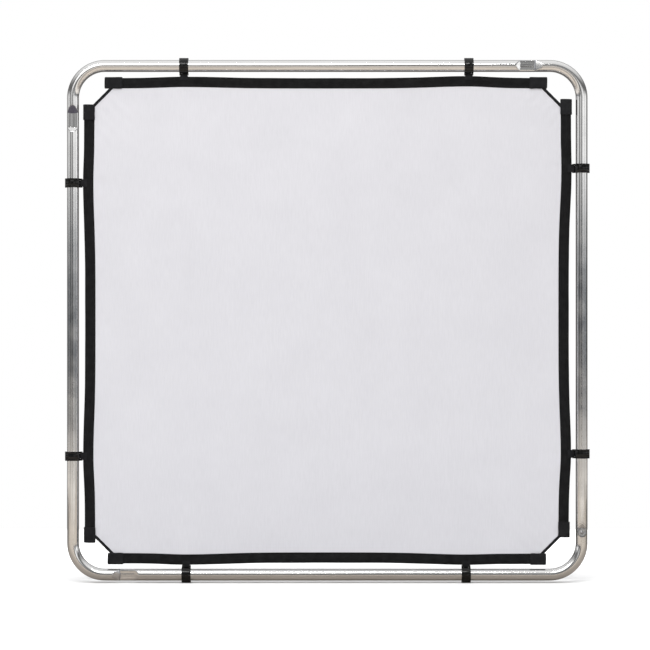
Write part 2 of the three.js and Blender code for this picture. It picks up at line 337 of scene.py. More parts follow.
def metal_material(name, colour, roughness, metallic=1.0):
    """Cast or plated metal with a fine grain and darker low spots."""
    material, tree, shader = nodes_of(name)
    place = object_place(tree)
    grain = noise(tree, place, 900, 3)
    spots = noise(tree, place, 140, 4)
    dark = tuple(c * 0.6 for c in colour)
    rough = ramp(tree, grain, [(0.3, grey(roughness)), (0.7, grey(roughness + 0.15))])
    fill(tree, shader, Base_Color=ramp(tree, spots, [(0.35, dark), (0.6, colour)]), Metallic=metallic,
         Roughness=rough, Normal=bump(tree, grain, 0.00005, 0.5))
    return material


def plastic_material():
    """Glossy moulded black plastic with faint flow marks and handling scuffs."""
    material, tree, shader = nodes_of("clip_plastic")
    place = object_place(tree)
    flow = noise(tree, place, 180, 4)
    scuffs = noise(tree, scaled(tree, place, (1, 1, 6)), 420, 5, 0.7)
    fill(tree, shader, Base_Color=ramp(tree, flow, [(0.3, grey(0.001)), (0.8, grey(0.004))]),
         Roughness=ramp(tree, scuffs, [(0.45, grey(0.1)), (0.8, grey(0.28))]), Specular_IOR_Level=0.36,
         Normal=bump(tree, flow, 0.0003, 0.5))
    return material


def woven_height(tree, place, pitch):
    """A plain weave: two crossed sets of threads, each a sine across the other."""
    waves = []
    for direction in ("X", "Z"):
        wave = add(tree, "ShaderNodeTexWave", bands_direction=direction, Vector=place, Scale=0.5 / pitch,
                   Distortion=0.6, Detail=1)
        waves.append(wave.outputs["Fac"])
    return arithmetic(tree, "MULTIPLY", *waves)


def fabric_material(name, dark, light, pitch, sheen, roughness=0.9):
    """Black woven cloth: thread-scale weave with painted shade in its hollows, slight unevenness and dusty
    lighter patches.
    """
    material, tree, shader = nodes_of(name)
    place = object_place(tree)
    weave = woven_height(tree, place, pitch)
    dust = noise(tree, place, 60, 5, 0.6)
    colour = ramp(tree, dust, [(0.35, dark), (0.7, light)])
    # painted shade: the colour is darker where the weave dips between the threads
    shade = ramp(tree, weave, [(0.1, grey(0.45)), (0.6, grey(1.0))])
    fill(tree, shader, Base_Color=blended(tree, 0.5, colour, shade, "MULTIPLY"), Roughness=roughness,
         Sheen_Weight=sheen, Sheen_Roughness=0.4, Specular_IOR_Level=0.14,
         Normal=bump(tree, weave, 0.0003, 0.8))
    return material


def diffusion_material():
    """Thin white nylon: light comes through it, with a fine weave and faint cloudiness."""
    material, tree, shader = nodes_of("diffusion_fabric")
    place = object_place(tree)
    weave = woven_height(tree, place, 0.0006)
    cloud = noise(tree, place, 9, 5, 0.6)
    slub = noise(tree, scaled(tree, place, (1, 1, 0.08)), 500, 3)
    tint = ramp(tree, cloud, [(0.3, (0.675, 0.67, 0.705)), (0.7, (0.705, 0.7, 0.735))])
    thread = ramp(tree, slub, [(0.35, grey(0.965)), (0.65, grey(1.0))])
    colour = blended(tree, 1.0, tint, thread, "MULTIPLY")
    fill(tree, shader, Base_Color=colour, Roughness=0.8, Sheen_Weight=0.1,
         Normal=bump(tree, weave, 0.0001, 0.5))
    through = add(tree, "ShaderNodeBsdfTranslucent", Color=colour)
    mix = add(tree, "ShaderNodeMixShader", Fac=0.35)
    tree.links.new(shader.outputs["BSDF"], mix.inputs[1])
    tree.links.new(through.outputs["BSDF"], mix.inputs[2])
    tree.links.new(mix.outputs["Shader"], tree.nodes["Material Output"].inputs["Surface"])
    return material


ALUMINIUM = aluminium_material()
DIE_CAST = metal_material("die_cast", (0.76, 0.78, 0.81), 0.32)
STEEL = metal_material("rivet_steel", (0.5, 0.5, 0.52), 0.25)
PLASTIC = plastic_material()
HEM = fabric_material("hem_fabric", (0.0085, 0.0085, 0.0092), (0.0155, 0.0155, 0.0163), 0.0008, 0.05)
WEBBING = fabric_material("webbing", (0.013, 0.013, 0.0145), (0.022, 0.022, 0.024), 0.0013, 0.05)
THREAD = fabric_material("thread", (0.018, 0.018, 0.02), (0.034, 0.034, 0.036), 0.0004, 0.05, 0.7)
CORD = fabric_material("elastic_cord", (0.012, 0.012, 0.013), (0.03, 0.03, 0.032), 0.0007, 0.3)
CLOTH = diffusion_material()
FIBREGLASS = metal_material("rod_fibreglass", (0.7, 0.68, 0.6), 0.5, 0.0)


# ---- tubes ----
AROUND = 96
ROUND_ANGLES = np.arange(AROUND) / AROUND * 2 * math.pi
FINE_STEP = 0.8                       # mm between the rings of a press, which needs them close together
CROWN = 0.35 * MM                     # a pressed face stays slightly domed
FLUTE = 0.09 * MM                     # and slightly wavy across
FLUTE_TURNS = 2 * math.pi / (8 * MM)
# period of the painted shade lines across a V press
RIPPLE_TURNS = 2 * math.pi / (4.6 * MM)
# width of the painted shade along a press's creases
CREASE_WIDTH = 0.35 * MM
CUT_EDGE = 0.9 * MM                   # the rim at a tube's end, painted dark as the shade of the seam's gap
SCOOP = 2.2 * MM                      # how deep the seam's edge curves in on the pressed faces
SCOOP_REACH = 9 * MM                  # and how far from the seam the wall follows it
PRESS_DARKENINGS = (0.0, 0.3, 1.0, 0.0)         # how much darker the press of each corner end is painted
FAR = 1.0                             # from a seam: too far for its press to matter


def soft_limit(value, limit, softness=0.25 * MM):
    """The smaller of value and limit, rounded where they meet."""
    return -softness * np.logaddexp(-value / softness, -limit / softness)


def press_limit(distance, flat, length, half):
    """How far the wall may stand from the middle plane, at a distance from the seam."""
    open_limit = TUBE_RADIUS + 2 * MM
    share = np.clip((distance - flat) / length, 0, 1)
    return half + (open_limit - half) * share


def section(radius, limit):
    """(in plane, depth) of the points round a tube whose depth is pressed down to limit."""
    across, depth = radius * np.cos(ROUND_ANGLES), radius * np.sin(ROUND_ANGLES)
    return across, np.sign(depth) * np.maximum(soft_limit(np.abs(depth), limit), 0)


def tube_stations(start, end):
    """(place on the line, tangent angle, distance from the straight seam and from the corner seam)."""
    straight = [*np.arange(0, 8, 1), *np.arange(8, 52, FINE_STEP), *np.linspace(52, 900, 40)]
    stations = [(start + d * MM, 0.0, d * MM, FAR) for d in straight if start + d * MM < TANGENT - 0.001]
    for turned in np.linspace(0, math.pi / 2, 40):
        stations.append((None, turned, FAR, BEND_RADIUS * (math.pi / 2 - turned) + TANGENT + end))
    rest = TANGENT + end
    for d in np.arange(rest / MM - FINE_STEP, 0, -FINE_STEP):
        stations.append((end - d * MM, math.pi / 2, FAR, d * MM))
    stations.append((end, math.pi / 2, FAR, 0.0))
    return stations


def station_matrix(place, turned):
    """Where a station is: its centre, and the way its section's in-plane axis points (inwards)."""
    if place is not None and turned == 0:
        return np.array([place, -HALF]), np.array([0.0, 1.0])
    if place is not None:
        return np.array([HALF, place]), np.array([-1.0, 0.0])
    centre = np.array([TANGENT + BEND_RADIUS * math.sin(turned), -TANGENT - BEND_RADIUS * math.cos(turned)])
    return centre, np.array([-math.sin(turned), math.cos(turned)])


def shade_and_darkening_round(base_depth, limit, near_straight, near_corner, stain, ripple_shade):
    """How much darker the metal is painted round one section: painted shade along the creases of a press
    and across its ripples, and at the cut ends by the seams; and a painted darkening over the press of the
    corner end."""
    pressed_in = base_depth - limit
    # painted shade along the creases where a press folds in
    crease_shade = 0.6 * np.exp(-(pressed_in / CREASE_WIDTH) ** 2) * (limit < TUBE_RADIUS - 0.5 * MM)
    # painted shade of the seam's gap, at each cut end
    ends = 0.75 * (min(near_straight, near_corner) < CUT_EDGE) * np.ones(AROUND)
    # the corner end's press, painted darker
    darkened_press = stain * (near_corner < CORNER_RAMP + 5 * MM) * np.clip(pressed_in / (0.4 * MM), 0, 1)
    return np.maximum(np.maximum(crease_shade, ends), np.maximum(darkened_press, ripple_shade))


def tube_rings(radius, half, straight, corner, vee, lip, stain):
    """Rings of one skin of a tube, their grain and their painted shade and darkening. vee slants the
    straight end's press back from its middle line, lip is how deep the edge is scooped, and the last
    argument how much darker the corner end's press is painted."""
    rings, grain, marks = [], [], []
    travelled = 0.0
    previous = None
    end = -SEAM - GAP
    for place, turned, near_straight, near_corner in tube_stations(-SEAM, end):
        base = radius * np.cos(ROUND_ANGLES)
        slanted = near_straight + vee * np.abs(base)
        limit = press_limit(slanted, *straight, half)
        if corner:
            limit = np.minimum(limit, press_limit(near_corner, *corner, half))
        crown = CROWN * (1 - (base / radius) ** 2)
        if not vee and near_straight < FLAT_LENGTH:
            crown = crown + FLUTE * np.cos(base * FLUTE_TURNS)
        across, depth = section(radius, limit + crown)
        base_depth = np.sqrt(np.maximum(radius ** 2 - base ** 2, 0))
        # dark lines across the V press: painted shade of its ripples
        ripple_shade = 0.55 * (vee > 0) * (slanted < LOCK_RAMP) * (np.cos(slanted * RIPPLE_TURNS) > 0.45)
        marks.append(shade_and_darkening_round(base_depth, limit, near_straight, near_corner if corner else FAR, stain,
                               ripple_shade))
        centre, inward = station_matrix(place, turned)
        ahead = np.array([inward[1], -inward[0]])
        scoop = lip * np.clip(1 - (across / (0.85 * TUBE_RADIUS)) ** 2, 0, 1)
        shift = scoop * np.clip(1 - near_straight / SCOOP_REACH, 0, 1)
        if corner:
            shift = shift + scoop * np.clip(1 - near_corner / SCOOP_REACH, 0, 1)
        x = centre[0] + inward[0] * across + ahead[0] * shift
        z = centre[1] + inward[1] * across + ahead[1] * shift
        rings.append(np.stack([x, depth, z], axis=1))
        if previous is not None:
            travelled += float(np.linalg.norm(centre - previous))
        previous = centre
        grain.append(np.stack([across, depth, np.full(AROUND, travelled)], axis=1))
    return np.array(rings), np.array(grain), np.array(marks)


def tube(index):
    """Bent tube, pressed flat at its joints. At the locking joint the bottom tube's corner end is round
    with a notch, and the right tube's straight end has a V press."""
    locks_corner, locks_straight = index == 0, index == 3
    straight = (0.0, LOCK_RAMP) if locks_straight else (FLAT_LENGTH, STRAIGHT_RAMP)
    corner = None if locks_corner else (0.0, CORNER_RAMP)
    vee = 0.9 if locks_straight else 0.0
    lip = 0.0 if locks_straight else SCOOP
    shape = (straight, corner, vee, lip, PRESS_DARKENINGS[index])
    outer = tube_rings(TUBE_RADIUS, FLAT_HALF, *shape)
    inner = tube_rings(TUBE_RADIUS - TUBE_WALL, FLAT_HALF - TUBE_WALL, *shape)
    rings, grain, marks = [np.concatenate([skin, lining[::-1]]) for skin, lining in zip(outer, inner)]
    verts, faces = ring_surface(rings, closed=True)
    name = SIDES[index] + "_tube_fine"
    mesh = bpy.data.meshes.new(name)
    mesh.from_pydata([tuple(v) for v in verts], [], faces)
    # the grain, and the painted shade and darkening that the aluminium's colour follows
    for key, kind, field, values in (("grain", "FLOAT_VECTOR", "vector", grain),
                                     ("shade_and_darkening", "FLOAT", "value", marks)):
        attribute = mesh.attributes.new(key, kind, "POINT")
        attribute.data.foreach_set(field, values.astype(np.float32).ravel())
    obj = bpy.data.objects.new(name, mesh)
    bpy.context.scene.collection.objects.link(obj)
    mesh.materials.append(ALUMINIUM)
    bm = bmesh.new()
    bm.from_mesh(mesh)
    bmesh.ops.recalc_face_normals(bm, faces=bm.faces)
    bm.to_mesh(mesh)
    bm.free()
    if locks_corner:
        combine(obj, notch_cutter(), "DIFFERENCE")
    finish_shade(obj, 30)
    return set_down(obj, index, SIDES[index] + "_section", "tube_aluminium", SIDES[index] + "_tube")


def notch_cutter():
    """U notch for the locking boss, open at the tube's end."""
    width = BOSS_RADIUS + GAP
    centre = -SEAM - BOSS_OFFSET
    outline = [(HALF + width * math.cos(t), centre + width * math.sin(t))
               for t in np.linspace(-math.pi, 0, 33)]
    outline += [(HALF + width, -SEAM + 4 * MM), (HALF - width, -SEAM + 4 * MM)]
    rings = [[(x, depth, z) for x, z in outline] for depth in (-TUBE_RADIUS - 3 * MM, 0)]
    return new_object("notch_cutter", *ring_surface(rings), ALUMINIUM)


# ---- inserts, rivet and cord ----
def insert(index):
    """Flat bar with round edges, a chamfered tongue and a bore for the cord."""
    low, high = -SEAM - INSERT_ROOT, -SEAM + INSERT_TONGUE
    outer = []
    for place, inset in ((low, 0.8), (low + 0.8 * MM, 0), (high - 3 * MM, 0), (high, 1.4)):
        across, depth = section(INSERT_RADIUS - inset * MM, INSERT_HALF - inset * 0.6 * MM)
        outer.append(np.stack([HALF + across, depth, np.full(AROUND, place)], axis=1))
    bore = []
    for place, flare in ((high, 0.5), (high - 0.5 * MM, 0), (low + 0.5 * MM, 0), (low, 0.5)):
        radius = CORD_BORE + flare * MM
        bore.append(np.stack([HALF + radius * np.cos(ROUND_ANGLES), radius * np.sin(ROUND_ANGLES),
                              np.full(AROUND, place)], axis=1))
    corner = CORNERS[index]
    obj = new_object(corner + "_insert_fine", *ring_surface(np.array(outer + bore), closed=True), DIE_CAST)
    if index == 0:
        combine(obj, boss(), "UNION")
        finish_shade(obj, 35)
    return set_down(obj, index, SIDES[index] + "_section", "die_cast", corner + "_insert")


def lathe(name, profile, material):
    """Turns a profile of (radius, y) about the boss's axis."""
    circle = np.linspace(0, 2 * math.pi, 48, endpoint=False)
    x, z = HALF, -SEAM - BOSS_OFFSET
    rings = [[(x + r * math.cos(t), y, z + r * math.sin(t)) for t in circle] for r, y in profile]
    return new_object(name, *ring_surface(rings), material)


def boss():
    """The round shoulder in the notch, with a raised rim round a shallow dish."""
    front = -BOSS_FRONT
    profile = [(BOSS_RADIUS, 0), (BOSS_RADIUS, front + 0.6 * MM), (BOSS_RADIUS - 0.6 * MM, front),
               (BOSS_RADIUS - 1.6 * MM, front), (BOSS_RADIUS - 2.2 * MM, front + 0.7 * MM),
               (RIVET_HEAD + 0.6 * MM, front + 0.7 * MM), (RIVET_HEAD + 0.2 * MM, front + 0.4 * MM),
               (0.2 * MM, front + 0.4 * MM)]
    return lathe("boss", profile, DIE_CAST)


def rivet():
    """Domed rivet through the boss and the tube's back wall."""
    front, back = -BOSS_FRONT + 0.45 * MM, TUBE_RADIUS + 0.2 * MM
    profile = [(0.1 * MM, front - 1.9 * MM)]
    profile += [(RIVET_HEAD * math.sin(t), front - 1.9 * MM * math.cos(t))
                for t in np.linspace(0.2, math.pi / 2, 8)]
    profile += [(RIVET_SHANK, front), (RIVET_SHANK, back), (RIVET_HEAD, back),
                (RIVET_HEAD * 0.92, back + 0.7 * MM), (RIVET_HEAD * 0.6, back + 1.1 * MM),
                (RIVET_HEAD * 0.35, back + 1.0 * MM), (RIVET_HEAD * 0.25, back + 0.5 * MM),
                (0.1 * MM, back + 0.4 * MM)]
    obj = lathe("anchor_rivet", profile, STEEL)
    return set_down(obj, 0, "bottom_section", "rivet_steel", "bottom_right_rivet")


def cord_bridge(index):
    """The stretch of cord in a joint, with a braided cover, from one body to the next."""
    node = CORNERS[index + 1] + "_cord_bridge"
    low, high = along(index, node)
    steps = int((high - low) / (0.5 * MM))
    rings = []
    for i in range(steps + 1):
        a = low + (high - low) * i / steps
        ring = []
        for j in range(20):
            t = 2 * math.pi * j / 20
            plait = 1 + 0.05 * math.sin(4 * t + i * 0.9) * math.sin(4 * t - i * 0.9)
            ring.append((a, CORD_RADIUS * plait * math.sin(t), -HALF + CORD_RADIUS * plait * math.cos(t)))
        rings.append(ring)
    obj = new_object(node + "_braid", *ring_surface(rings), CORD)
    obj.data.transform(turn(index))
    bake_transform(obj)
    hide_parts(node)
    return obj


# ---- cover ----
def smooth_step(share):
    share = np.clip(share, 0, 1)
    return share * share * (3 - 2 * share)


class Edge:
    """One side of the cover: where its hem lies and how its clips and rod bow it."""

    def __init__(self, index):
        side = SIDES[index]
        self.index = index
        patches = [along(index, f"{side}_patch_{end}") for end in PATCH_ENDS[side]]
        self.low = min(p[0] for p in patches)
        self.high = max(p[1] for p in patches)
        self.clips = sorted(mid_along(index, f"{side}_clip_{end}") for end in CLIP_ENDS[side])

    def bow(self, a):
        """How far out of true the hem stands at a: pulled out by each clip, slack between them."""
        a = np.asarray(a, float)
        first, second = self.clips
        low_end, at_first, middle, at_second, high_end = (value * MM for value in BOWS[self.index])
        shift = middle + (low_end - middle) * smooth_step((first - a) / END_EASE)
        shift = shift + (high_end - middle) * smooth_step((a - second) / END_EASE)
        for clip, pull, inside in ((first, at_first, a > first), (second, at_second, a < second)):
            width = np.where(inside, PULL_INSIDE, PULL_OUTSIDE)
            shift = shift + (pull - middle) * np.exp(-((a - clip) / width) ** 2)
        return shift


CLOTH_HALF = -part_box("diffusion_cloth")[0].x
TUCK = 3 * MM                         # the cloth's seam allowance, inside the hem
PULL_INSIDE = 108 * MM                # how far a clip's pull spreads towards mid-span
PULL_OUTSIDE = 62 * MM                # and towards the hem's end
END_EASE = 110 * MM
# how far out each side's hem stands at its low end, first clip, mid-span, second clip and high end, mm
BOWS = [(1.0, 3.8, -0.4, 3.9, 2.1), (1.1, 3.4, -1.0, 3.3, -0.3), (-0.7, 3.3, -1.0, 2.1, -0.7),
        (-2.4, 2.3, -2.5, 3.6, 2.0)]
EDGES = [Edge(i) for i in range(4)]


def fold_noise(a, b, seed, scales):
    """Smooth repeatable unevenness, a sum of sines with unrelated wavelengths."""
    total = 0
    for n, scale in enumerate(scales):
        phase = seed * 1.7 + n * 2.3
        total = total + np.sin(a * scale + phase) * np.cos(b * scale * 0.73 + 1.9 * phase)
    return total / len(scales)


HEM_ROUND = 40
HEM_PITCH = 3.2 * MM                  # of the stitches along a hem
BOX_PITCH = 2.6 * MM                  # of the boxed stitches on a patch
STITCH_START = 35 * MM                # from a hem's ends, so that its stitches are clear of the patches
HEM_END = 6 * MM                      # how far inside its patches' outer ends a hem ends
ROD_END = 9 * MM                      # and its rod
ROD_RADIUS = 2.3 * MM
POCKET = 0.62                         # where across the hem's width the rod lies
SEAM_LINE = 0.2                       # and where the hem is sewn down
BINDING_HALF = 1.3 * MM               # half the thickness of the tape along a cut corner


def hem_section(a, edge, width):
    """(v, y) round the hem at a: a flat seam allowance inside, the rod's pocket outside."""
    count = HEM_ROUND // 2
    share = (1 - np.cos(np.linspace(0, math.pi, count + 1))) / 2
    thick = 1.3 + 2.0 * np.exp(-((share - POCKET) / 0.24) ** 2)
    thick = thick * np.clip(1 - (2 * share - 1) ** 16, 0, 1) ** 0.5
    seam = 0.55 * np.exp(-((share - SEAM_LINE) / 0.03) ** 2)
    pucker = 0.35 * fold_noise(a * 1000, share * 9, edge.index, (0.11, 0.23, 0.41))
    inner_part = np.clip(4 * share * (1 - share), 0, 1)
    front = -(thick - seam + pucker * inner_part) * MM
    back = (thick - seam - 0.6 * pucker * inner_part) * MM
    v = CLOTH_HALF + edge.bow(a) + share * width
    return np.concatenate([v, v[-2:0:-1]]), np.concatenate([front, back[-2:0:-1]])


def hem(index):
    """Sewn sleeve along one side, bowed by its clips, with the rod in its pocket."""
    edge = EDGES[index]
    side = SIDES[index]
    rings = []
    for a in np.linspace(edge.low + HEM_END, edge.high - HEM_END, 260):
        width = HEM_WIDTH + 0.25 * MM * fold_noise(a * 1000, 0, index + 5, (0.05, 0.13))
        v, y = hem_section(a, edge, width)
        rings.append(np.stack([np.full(len(v), a), y, -v], axis=1))
    obj = new_object(side + "_hem_sleeve", *ring_surface(rings), HEM, 60)
    return set_down(obj, index, "cover", "hem_fabric", side + "_hem")


def stitch_row(points, face, length, thickness):
    """Verts and faces of one row of stitches: small lozenges laid end to end along points, on the back
    where face is 1 and on the front where it is -1."""
    verts, faces = [], []
    up = Vector((0, face, 0))
    for i in range(len(points) - 1):
        p, q = Vector(points[i]), Vector(points[i + 1])
        way = (q - p).normalized()
        side = way.cross(up)
        mid = (p + q) / 2
        base = len(verts)
        for s, w, h in ((-0.5, 0, -0.2), (-0.3, 1, 0), (-0.3, -1, 0), (0, 0, 1), (0.3, 1, 0), (0.3, -1, 0),
                        (0.5, 0, -0.2), (0, 0, -0.6)):
            verts.append(mid + way * length * s + side * thickness * w * 0.5 + up * thickness * h * 0.5)
        for f in ((0, 1, 3), (0, 3, 2), (1, 4, 3), (3, 5, 2), (4, 6, 3), (3, 6, 5), (0, 2, 7), (0, 7, 1),
                  (1, 7, 4), (2, 5, 7), (4, 7, 6), (5, 6, 7)):
            faces.append(tuple(base + k for k in f))
    return verts, faces


def stitches(name, rows, index, pitch=HEM_PITCH):
    """One mesh of stitches along several rows of (points, face)."""
    verts, faces = [], []
    for points, face in rows:
        v, f = stitch_row(points, face, pitch * 0.78, 0.5 * MM)
        faces += [tuple(k + len(verts) for k in corners) for corners in f]
        verts += v
    obj = new_object(name, verts, faces, THREAD)
    obj.data.transform(turn(index))
    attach(obj, "cover")
    return obj


def hem_stitches(index):
    """The seam that closes the rod's pocket, a row of stitches on each face."""
    edge = EDGES[index]
    rows = []
    count = int((edge.high - edge.low - 2 * STITCH_START) / HEM_PITCH)
    places = np.linspace(edge.low + STITCH_START, edge.high - STITCH_START, count)
    for face in (-1, 1):
        points = []
        for a in places:
            v, y = hem_section(a, edge, HEM_WIDTH)
            target = CLOTH_HALF + edge.bow(a) + SEAM_LINE * HEM_WIDTH
            half = len(v) // 2 + 1
            if face < 0:
                depth = np.interp(target, v[:half], y[:half])
            else:
                depth = np.interp(target, v[half:][::-1], y[half:][::-1])
            points.append((a, depth + face * 0.1 * MM, -target))
        rows.append((points, face))
    return stitches(SIDES[index] + "_hem_stitches", rows, index)


def rod(index):
    """Thin round rod in the hem's pocket, bowed with it."""
    edge = EDGES[index]
    rings = []
    for a in np.linspace(edge.low + ROD_END, edge.high - ROD_END, 120):
        v = CLOTH_HALF + edge.bow(a) + POCKET * HEM_WIDTH
        rings.append([(a, ROD_RADIUS * math.sin(t), -v + ROD_RADIUS * math.cos(t))
                      for t in np.linspace(0, 2 * math.pi, 16, endpoint=False)])
    obj = new_object(SIDES[index] + "_rod_bowed", *ring_surface(rings), FIBREGLASS, 40)
    return set_down(obj, index, "cover", "rod_fibreglass", SIDES[index] + "_rod")


PATCH_WIDTH = 24.4 * MM
PATCH_HALF = 4.4 * MM
PATCH_SLIP = (0.0, 0.0, 4.5 * MM, 0.0)    # how much further out than the others a side's patches are sewn
BOX_INSET = 3.2 * MM                  # of the boxed stitches, from a patch's edges


def patch(index, end):
    """Folded webbing over the end of a hem: rounded folds, a turned-in lip and a boxed row of stitches."""
    side = SIDES[index]
    edge = EDGES[index]
    node = f"{side}_patch_{end}"
    low, high = along(index, node)
    outwards = 1 if high > 0 else -1
    if outwards > 0:
        high += PATCH_SLIP[index]
    else:
        low -= PATCH_SLIP[index]
    centre_v = CLOTH_HALF - 0.6 * MM + PATCH_WIDTH / 2
    rings = []
    seed = index * 3 + outwards
    shares = (0, 0.012, 0.03, 0.06, 0.12, 0.2, 0.3, 0.4, 0.5, 0.6, 0.7, 0.8, 0.88, 0.94, 0.97, 0.988, 1)
    for share in shares:
        a = low + (high - low) * share
        edge_round = 1 - max(0, 1 - min(share, 1 - share) / 0.03) ** 2 * 0.12
        ring = []
        for i in range(HEM_ROUND):
            t = 2 * math.pi * i / HEM_ROUND
            c, s = math.cos(t), math.sin(t)
            v = math.copysign(abs(c) ** 0.28, c) * PATCH_WIDTH / 2
            y = math.copysign(abs(s) ** 0.42, s) * PATCH_HALF * edge_round
            waver = 0.3 * MM * fold_noise(a * 1000, t * 2, seed, (0.19, 0.37))
            skew = 0.35 * MM * math.sin(seed * 2.1 + v * 120)
            ring.append((a + skew * edge_round, y + waver * 0.8 * s,
                         -(centre_v + v * edge_round + edge.bow(a) + waver)))
        rings.append(ring)
    obj = new_object(node + "_webbing", *ring_surface(rings), WEBBING, 55)
    set_down(obj, index, "cover", "webbing", node)
    rows = []
    bow = edge.bow((low + high) / 2)
    near_v, far_v = centre_v - PATCH_WIDTH / 2 + BOX_INSET, centre_v + PATCH_WIDTH / 2 - BOX_INSET
    near_a, far_a = low + BOX_INSET, high - BOX_INSET
    loop = [(near_a, near_v), (far_a, near_v), (far_a, far_v), (near_a, far_v)]
    for face in (-1, 1):
        points = []
        for k in range(4):
            (a0, v0), (a1, v1) = loop[k], loop[(k + 1) % 4]
            steps = max(3, int(math.hypot(a1 - a0, v1 - v0) / BOX_PITCH))
            for n in range(steps):
                a = a0 + (a1 - a0) * n / steps
                v = v0 + (v1 - v0) * n / steps
                points.append((a, face * (PATCH_HALF * 0.985), -(v + bow)))
        points.append(points[0])
        rows.append((points, face))
    return stitches(node + "_stitches", rows, index, BOX_PITCH)


def tape_wave(d, index):
    """How the tape along a cut corner waves in depth."""
    return 0.2 * MM * math.sin(d * 260 + index * 2)


def binding(index):
    """Folded tape along the cut corner, its ends tucked behind the patches."""
    middle = CORNER_SUM / 2
    half_length = (CLOTH_HALF + 6 * MM - middle) * math.sqrt(2)
    rings = []
    for d in np.linspace(-half_length, half_length, 60):
        x = middle - d / math.sqrt(2)
        z = -(middle + d / math.sqrt(2))
        width = (3.1 + 0.12 * math.sin(d * 400 + index)) * MM
        ring = []
        for i in range(24):
            t = 2 * math.pi * i / 24
            w = math.copysign(abs(math.cos(t)) ** 0.7, math.cos(t)) * width
            y = math.copysign(abs(math.sin(t)) ** 0.6, math.sin(t)) * BINDING_HALF
            y += tape_wave(d, index)
            ring.append((x + w / math.sqrt(2), y, z - w / math.sqrt(2)))
        rings.append(ring)
    corner = CORNERS[index]
    obj = new_object(corner + "_binding_tape", *ring_surface(rings), WEBBING, 60)
    set_down(obj, index, "cover", "webbing", corner + "_binding")
    rows = []
    for face in (-1, 1):
        points = []
        for d in np.linspace(-half_length * 0.8, half_length * 0.8, 18):
            x = middle - d / math.sqrt(2)
            z = -(middle + d / math.sqrt(2))
            points.append((x, face * (BINDING_HALF + 0.05 * MM) + tape_wave(d, index), z))
        rows.append((points, face))
    return stitches(corner + "_binding_stitches", rows, index)


def cloth():
    """The stretched sheet: edges follow the bowed hems, tension folds run in from the clips and corners."""
    steps = 300
    share = np.linspace(-1, 1, steps + 1)
    sx, sz = np.meshgrid(share, share)
    reach = CLOTH_HALF + TUCK
    z = sz * reach
    wide = np.minimum(reach, CORNER_SUM - np.abs(z))
    x = sx * wide
    sideways, outwards = (x, -z, -x, z), (-z, -x, z, x)
    bow = [edge.bow(a) for edge, a in zip(EDGES, sideways)]
    near = [np.clip((v / reach + 1) / 2, 0, 1) ** 1.6 for v in outwards]
    moved_x = x + near[3] * bow[3] - near[1] * bow[1]
    moved_z = z + near[2] * bow[2] - near[0] * bow[0]
    depth = np.zeros_like(x)
    for index, edge in enumerate(EDGES):
        from_hem = np.maximum(CLOTH_HALF - outwards[index], 0)
        for clip in edge.clips:
            spread = sideways[index] - clip
            fan = np.exp(-(from_hem / (70 * MM)) ** 1.2)
            fan *= np.exp(-(spread / (0.35 * from_hem + 18 * MM)) ** 2)
            depth += 0.7 * MM * fan * np.cos(spread / (0.16 * from_hem + 5 * MM))
        ease = np.exp(-(from_hem / (14 * MM)) ** 1.5)
        gathers = fold_noise(sideways[index] * 1000, from_hem * 80, index + 2, (0.09, 0.17, 0.31))
        depth += 0.6 * MM * ease * gathers
    slack = fold_noise(x * 1000, z * 1000, 1.3, (0.006, 0.011, 0.017))
    depth += 1.1 * MM * slack * (1 - (np.abs(x) / reach) ** 4) * (1 - (np.abs(z) / reach) ** 4)
    to_cut = np.maximum(CORNER_SUM - np.abs(x) - np.abs(z), 0)
    depth += 0.7 * MM * np.exp(-to_cut / (60 * MM)) * np.cos((np.abs(x) - np.abs(z)) * 210)
    to_hem = np.minimum(reach - np.abs(x), reach - np.abs(z)) - TUCK
    depth *= np.clip((to_cut - 6 * MM) / (20 * MM), 0, 1) * np.clip((to_hem + 1 * MM) / (12 * MM), 0, 1)
    verts = np.stack([moved_x, depth, moved_z], axis=2).reshape(-1, 3)
    row = steps + 1
    faces = [(k, k + 1, k + row + 1, k + row)
             for i in range(steps) for k in range(i * row, i * row + steps)]
    obj = new_object("diffusion_sheet", verts, faces, CLOTH, 80)
    obj.data.transform(Matrix.Translation(CENTRE))
    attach(obj, "cover")
    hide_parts("diffusion_cloth")
    return obj


# ---- clips ----
EDGE_ROUND = 0.45 * MM
GROOVE_DEPTH = 0.55 * MM
GROOVE_WIDTH = 0.9 * MM
GROOVE_OFFSET = 6.1 * MM              # from the clip's middle
TAB_SPREAD = 18 * MM                  # the tab's width over the hem
TAB_THICKNESS = 1.0 * MM
TAB_LEG = 4.1 * MM                    # depth of the tab's two ends, on the faces of the hem
TAB_OVERLAP = 8.5 * MM                # how far they lie over the hem
HEM_PULL = 3.1 * MM                   # how far out a clip pulls the hem
RIB_HEIGHT = 0.07 * MM                # of the webbing


def hook_outline():
    """(outwards from the tube's axis, y) round the J: outer wall, over the front, down to the pin."""
    start, tip = 0.0, -0.985 * math.pi
    outline = [(HOOK_INNER, HOOK_TAIL - 0.2 * MM), (HOOK_INNER, 0)]
    outline += arc(0, HOOK_INNER, start, tip, 40)[1:]
    outline += arc(0, HOOK_OUTER, tip, start, 48)
    outline += [(HOOK_OUTER + 0.15 * MM, HOOK_TAIL - 1.4 * MM), (HOOK_OUTER - 0.5 * MM, HOOK_TAIL),
                (HOOK_INNER + 0.7 * MM, HOOK_TAIL + 0.3 * MM)]
    return outline


def disc(radius, steps):
    """The outline of a disc about the clip's pin."""
    return arc(PIN_OUT, radius, 0, 2 * math.pi, steps)[:-1]


